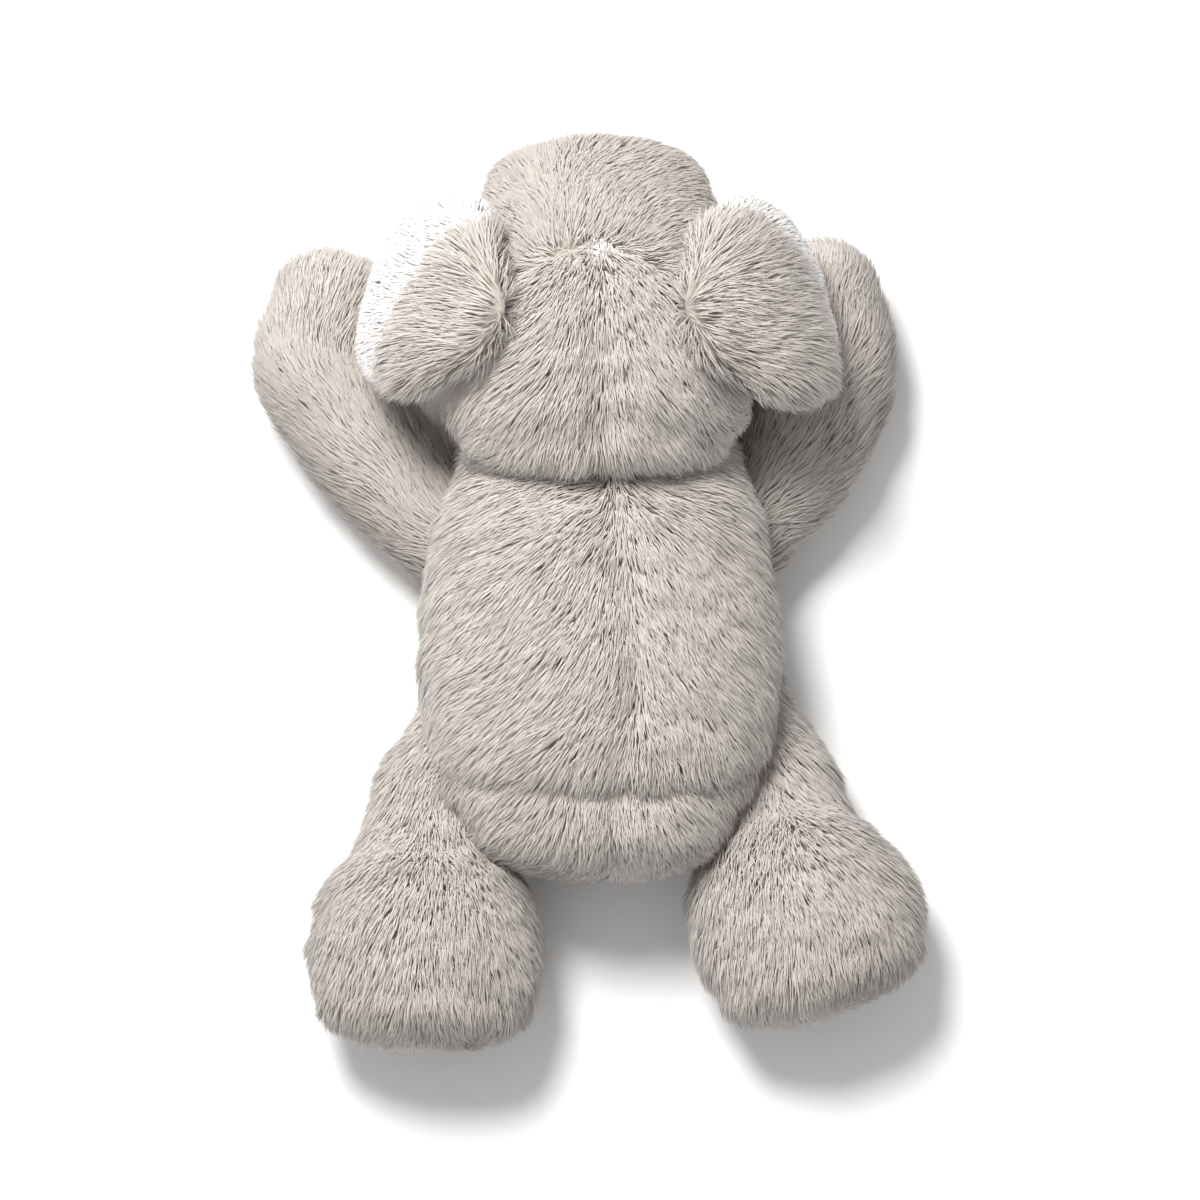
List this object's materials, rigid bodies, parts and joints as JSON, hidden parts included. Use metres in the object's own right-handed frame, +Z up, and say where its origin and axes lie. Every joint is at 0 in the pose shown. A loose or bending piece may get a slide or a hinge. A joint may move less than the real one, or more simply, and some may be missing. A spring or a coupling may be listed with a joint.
{
  "type": "stuffed elephant",
  "caption": "Light grey plush elephant lying on its belly with raised arms, drooping white-lined ears and rounded feet.",
  "frame": {"origin": "on the plane that the belly rests on, under the middle of the torso's width, level with the waist", "axes": "+Z up, +Y from tail to head, the toy's own left side at -X"},
  "size_m": [0.2048, 0.2823, 0.0971],
  "materials": {
    "grey_plush": "long soft pile",
    "short_plush": "smooth pile",
    "white_plush": "short smooth pile",
    "fibre_fill": "loose fibre",
    "eye_plastic": "gloss",
    "washer_plastic": "matte"
  },
  "bodies": {
    "torso": {"back_panel_left": "grey_plush", "back_panel_right": "grey_plush", "belly_panel": "grey_plush", "base_panel": "grey_plush", "torso_stuffing": "fibre_fill"},
    "head": {"forehead_panel": "short_plush", "head_back_left": "grey_plush", "head_back_right": "grey_plush", "cheek_panel_left": "short_plush", "cheek_panel_right": "short_plush", "head_stuffing": "fibre_fill", "eye_left": "eye_plastic", "eye_right": "eye_plastic", "eye_washer_left": "washer_plastic", "eye_washer_right": "washer_plastic"},
    "trunk": {"trunk_panel_left": "short_plush", "trunk_panel_right": "short_plush", "trunk_stuffing": "fibre_fill"},
    "ear_left": {"ear_back_left": "grey_plush", "ear_lining_left": "white_plush", "ear_wadding_left": "fibre_fill"},
    "arm_left": {"arm_upper_panel_left": "grey_plush", "arm_lower_panel_left": "grey_plush", "arm_stuffing_left": "fibre_fill"},
    "leg_left": {"leg_upper_panel_left": "grey_plush", "leg_lower_panel_left": "grey_plush", "foot_sole_left": "grey_plush", "leg_stuffing_left": "fibre_fill"},
    "ear_right": {"ear_back_right": "grey_plush", "ear_lining_right": "white_plush", "ear_wadding_right": "fibre_fill"},
    "arm_right": {"arm_upper_panel_right": "grey_plush", "arm_lower_panel_right": "grey_plush", "arm_stuffing_right": "fibre_fill"},
    "leg_right": {"leg_upper_panel_right": "grey_plush", "leg_lower_panel_right": "grey_plush", "foot_sole_right": "grey_plush", "leg_stuffing_right": "fibre_fill"}
  },
  "joints": [
    {"name": "neck_nod", "type": "hinge", "parent": "torso", "child": "head", "pos_m": [0, 0.055, 0.048], "axis": [1, 0, 0], "range_deg": [0, 20]},
    {"name": "trunk_curl", "type": "hinge", "parent": "head", "child": "trunk", "pos_m": [-0.001, 0.124, 0.036], "axis": [1, 0, 0], "range_deg": [0, 30]},
    {"name": "ear_flap_left", "type": "hinge", "parent": "head", "child": "ear_left", "pos_m": [-0.03634, 0.07019, 0.09148], "axis": [0.4514, 0.8546, 0.2567], "range_deg": [0, 50]},
    {"name": "ear_flap_right", "type": "hinge", "parent": "head", "child": "ear_right", "pos_m": [0.03322, 0.07019, 0.09218], "axis": [0.3674, -0.9105, -0.1899], "range_deg": [0, 50]},
    {"name": "arm_swing_left", "type": "hinge", "parent": "torso", "child": "arm_left", "pos_m": [-0.047, 0.017, 0.02], "axis": [0, 0, 1], "range_deg": [0, 65]},
    {"name": "arm_swing_right", "type": "hinge", "parent": "torso", "child": "arm_right", "pos_m": [0.045, 0.02, 0.02], "axis": [0, 0, -1], "range_deg": [0, 65]},
    {"name": "leg_swing_left", "type": "hinge", "parent": "torso", "child": "leg_left", "pos_m": [-0.048, -0.05, 0.024], "axis": [0, 0, -1], "range_deg": [-6, 40]},
    {"name": "leg_swing_right", "type": "hinge", "parent": "torso", "child": "leg_right", "pos_m": [0.044, -0.044, 0.024], "axis": [0, 0, 1], "range_deg": [-6, 40]}
  ]
}
